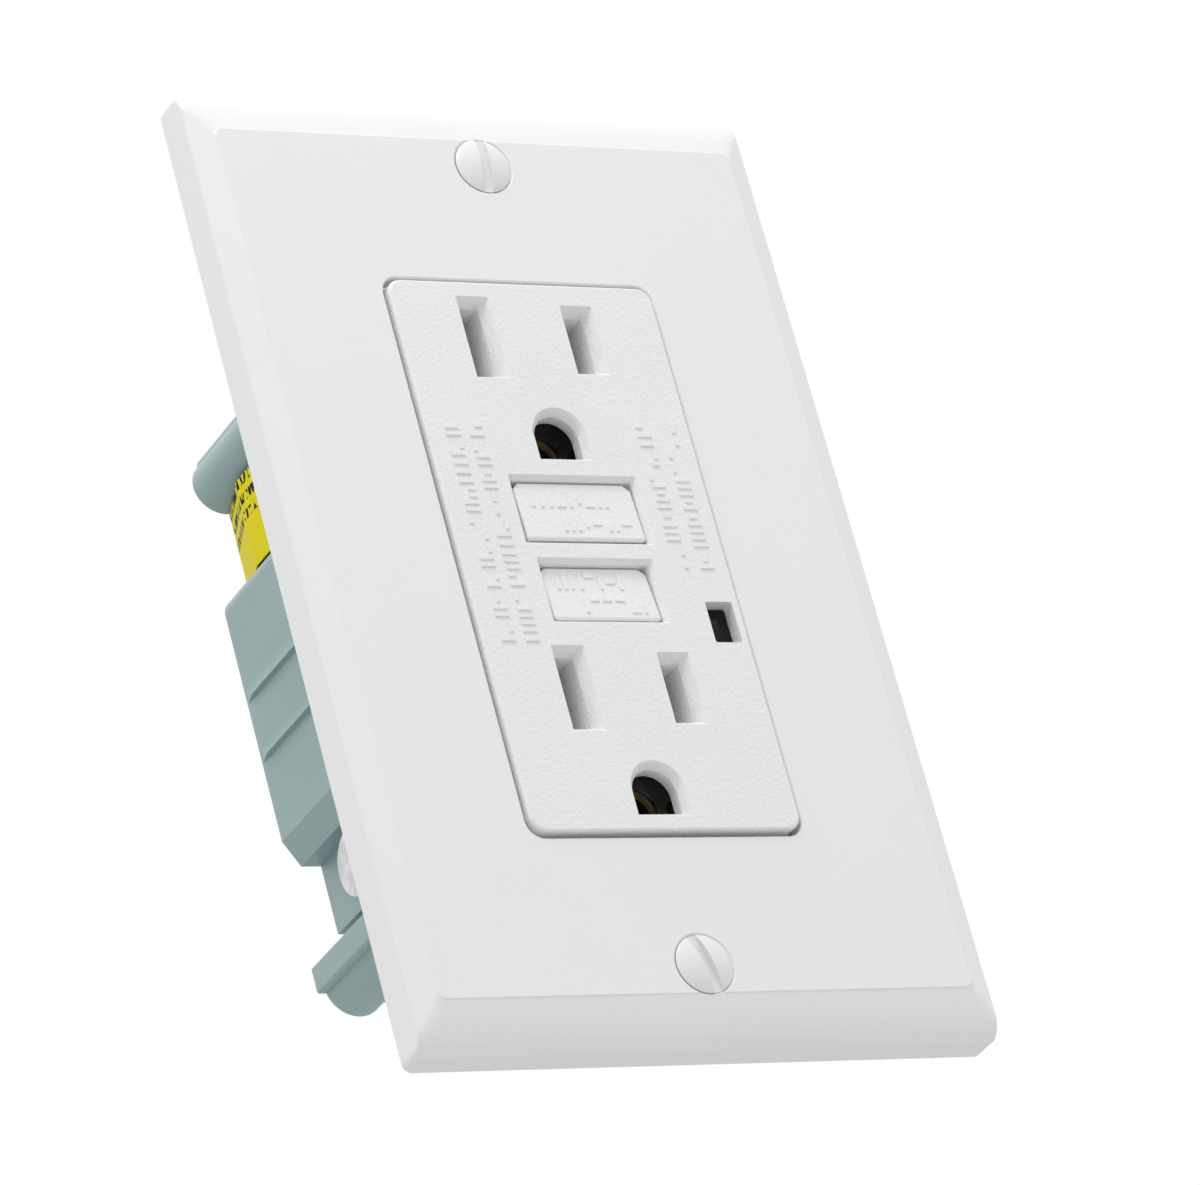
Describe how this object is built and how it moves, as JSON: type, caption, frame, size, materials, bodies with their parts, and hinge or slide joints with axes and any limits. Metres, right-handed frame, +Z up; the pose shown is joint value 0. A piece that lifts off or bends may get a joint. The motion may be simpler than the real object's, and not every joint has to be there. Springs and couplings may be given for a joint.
{
  "type": "gfci outlet",
  "caption": "Ground fault receptacle with reset and test buttons, indicator window, steel mounting strap, blue-grey housing and a white screwed wall plate.",
  "frame": {"origin": "centre of the two box-screw holes, on the back of the strap, which is the wall plane", "axes": "+X to the right seen from the front, +Z up, +Y into the wall; the face looks along -Y"},
  "size_m": [0.0698, 0.0409, 0.1142],
  "materials": {
    "plate_plastic": "smooth semi-gloss white",
    "face_plastic": "fine matte white",
    "painted_screw": "white enamel on steel",
    "strap_steel": "zinc plated",
    "bright_steel": "nickel plated",
    "spring_steel": "drawn wire",
    "contact_brass": "pressed strip",
    "screw_brass": "bright brass",
    "copper_bar": "drawn copper",
    "silver_alloy": "contact silver",
    "copper_winding": "enamelled wire",
    "dark_lens": "dark clear window",
    "led_resin": "tinted resin",
    "inner_plastic": "moulded",
    "dark_plastic": "moulded",
    "board_laminate": "solder mask on glass laminate",
    "varistor_coat": "dipped coating",
    "capacitor_case": "moulded case",
    "chip_resin": "moulded resin",
    "resistor_coat": "lacquered film",
    "housing_plastic": "blue-grey moulding",
    "green_screw": "green dyed plating",
    "label_film": "yellow printed film"
  },
  "bodies": {
    "root": {"wall_plate": "plate_plastic", "plate_screws": "painted_screw", "mounting_strap": "strap_steel", "face_cover": "face_plastic", "reset_spring": "spring_steel", "test_contact_spring": "contact_brass", "led_lens": "dark_lens", "led": "led_resin", "separator": "inner_plastic", "neutral_face_contact": "contact_brass", "hot_face_contact": "contact_brass", "ground_contacts": "contact_brass", "ground_rivets": "contact_brass", "fixed_contact_rivets": "silver_alloy", "load_terminals": "contact_brass", "line_terminals": "contact_brass", "line_conductors": "copper_bar", "solenoid_bobbin": "dark_plastic", "solenoid_coil": "copper_winding", "solenoid_frame": "bright_steel", "plunger_spring": "spring_steel", "transformer_boat": "dark_plastic", "sense_core": "copper_winding", "neutral_core": "copper_winding", "circuit_board": "board_laminate", "varistor": "varistor_coat", "film_capacitor": "capacitor_case", "control_chip": "chip_resin", "trip_thyristor": "chip_resin", "resistors": "resistor_coat", "diodes": "chip_resin", "rear_housing": "housing_plastic", "neutral_terminal_screws": "bright_steel", "hot_terminal_screws": "screw_brass", "pressure_plates": "bright_steel", "ground_screw": "green_screw", "housing_screws": "bright_steel", "terminal_label": "label_film"},
    "reset_group": {"reset_button": "face_plastic", "reset_pin": "bright_steel"},
    "test_group": {"test_button": "face_plastic"},
    "carriage": {"contact_carriage": "dark_plastic"},
    "latch": {"latch_plate": "bright_steel"},
    "arms": {"contact_arms": "contact_brass", "arm_contact_rivets": "silver_alloy"},
    "plunger": {"solenoid_plunger": "bright_steel"}
  },
  "joints": [
    {"name": "reset_press", "type": "slide", "parent": "root", "child": "reset_group", "axis": [0, 1, 0], "range_m": [0, 0.0019], "stiffness_N_per_m": 400, "springref_m": -0.003, "deforming": ["reset_spring"]},
    {"name": "test_press", "type": "slide", "parent": "root", "child": "test_group", "axis": [0, 1, 0], "range_m": [0, 0.0012], "stiffness_N_per_m": 500, "springref_m": -0.001, "deforming": ["test_contact_spring"]},
    {"name": "carriage_travel", "type": "slide", "parent": "root", "child": "carriage", "axis": [0, 1, 0], "range_m": [0, 0.0019]},
    {"name": "arm_swing", "type": "hinge", "parent": "root", "child": "arms", "pos_m": [0, 0.0136, -0.021], "axis": [-1, 0, 0], "range_deg": [0, 4.3]},
    {"name": "plunger_pull", "type": "slide", "parent": "root", "child": "plunger", "axis": [0, 0, 1], "range_m": [0, 0.0014], "stiffness_N_per_m": 150, "springref_m": -0.002, "deforming": ["plunger_spring"]},
    {"name": "latch_slide", "type": "slide", "parent": "carriage", "child": "latch", "axis": [0, 0, 1], "range_m": [0, 0.0014]}
  ],
  "couplings": [
    {"joint": "carriage_travel", "follows": "reset_press", "ratio": 1},
    {"joint": "arm_swing", "follows": "reset_press", "rad_per_m": 38.25},
    {"joint": "latch_slide", "follows": "plunger_pull", "ratio": 1}
  ]
}
